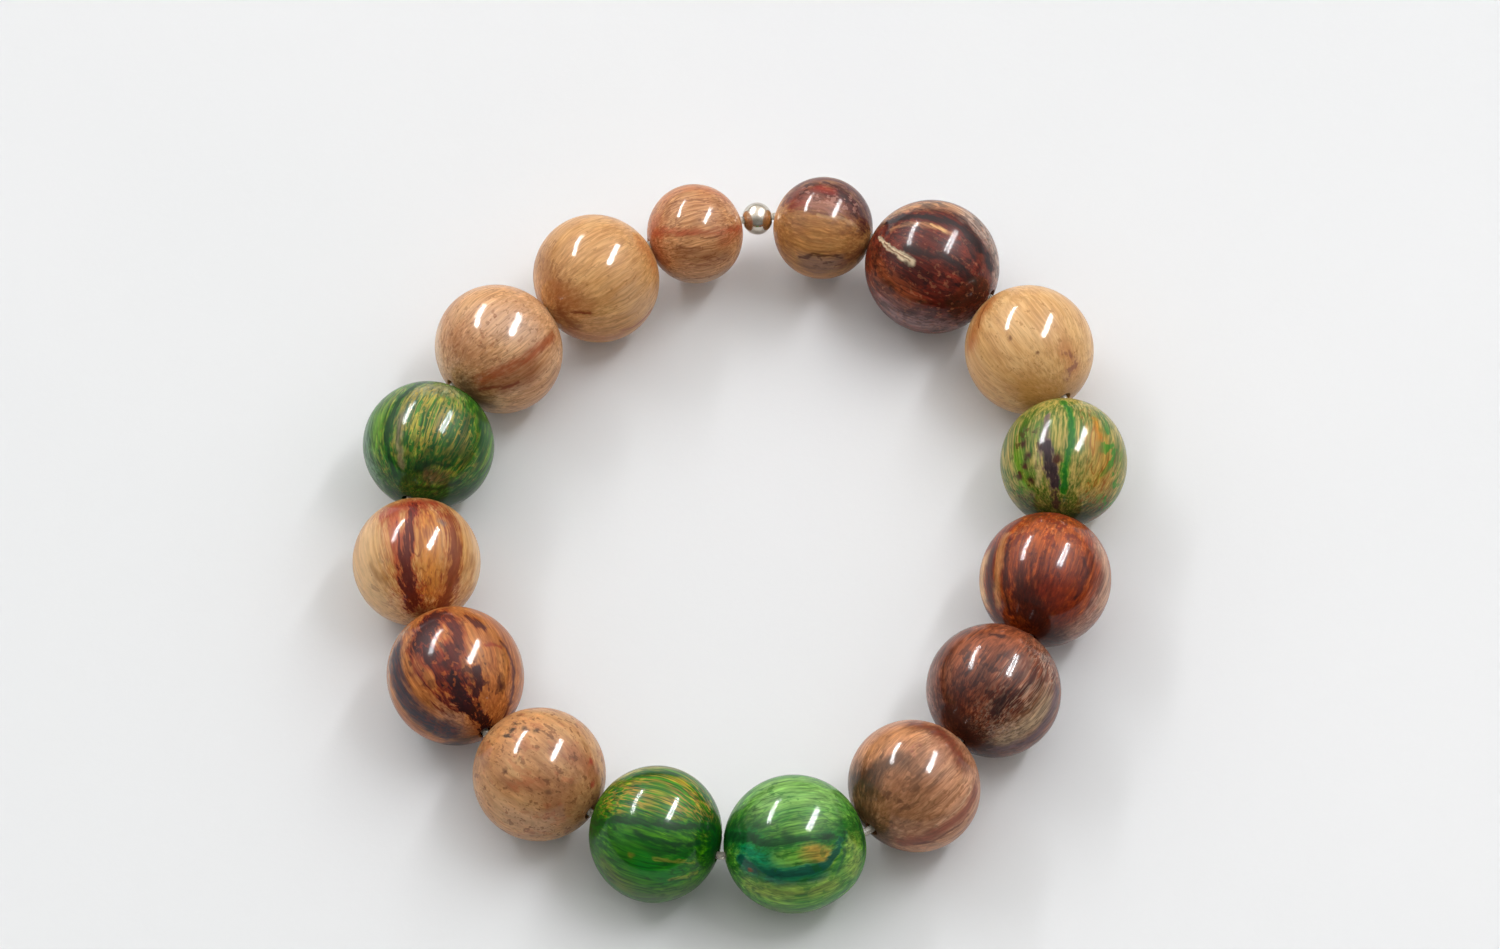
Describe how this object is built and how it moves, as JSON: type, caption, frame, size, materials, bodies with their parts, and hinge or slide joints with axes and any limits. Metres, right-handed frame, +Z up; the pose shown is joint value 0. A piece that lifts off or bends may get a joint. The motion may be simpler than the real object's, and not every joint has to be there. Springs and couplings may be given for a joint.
{
  "type": "bead bracelet",
  "caption": "Stretch bracelet of round lacquered wooden beads on a clear elastic cord, with a small metal ball between its smallest beads, lying flat as a loose oval loop.",
  "frame": {"origin": "on the surface that the bracelet rests on, under the middle of its outline", "axes": "+Z up from that surface, through the loop; +Y along the loop's longer way, towards the small beads; +X to the right"},
  "size_m": [0.0819, 0.0862, 0.0144],
  "materials": {
    "tan_bark": "glossy clear lacquer over tan bark fibre",
    "pale_bark": "glossy clear lacquer over pale honey bark fibre",
    "brown_bark": "glossy clear lacquer over brown bark fibre",
    "russet_bark": "glossy clear lacquer over russet bark fibre",
    "dark_bark": "glossy clear lacquer over dark red-brown bark fibre",
    "green_bark": "glossy clear lacquer over green-dyed bark fibre",
    "polished_metal": "polished",
    "clear_elastic": "clear, slightly milky elastic"
  },
  "bodies": {
    "root": {"bead_01": "tan_bark", "bead_02": "brown_bark", "bead_03": "dark_bark", "bead_04": "pale_bark", "bead_05": "green_bark", "bead_06": "russet_bark", "bead_07": "brown_bark", "bead_08": "tan_bark", "bead_09": "green_bark", "bead_10": "green_bark", "bead_11": "tan_bark", "bead_12": "russet_bark", "bead_13": "pale_bark", "bead_14": "green_bark", "bead_15": "tan_bark", "bead_16": "tan_bark", "metal_ball": "polished_metal", "elastic_cord": "clear_elastic"}
  },
  "joints": []
}
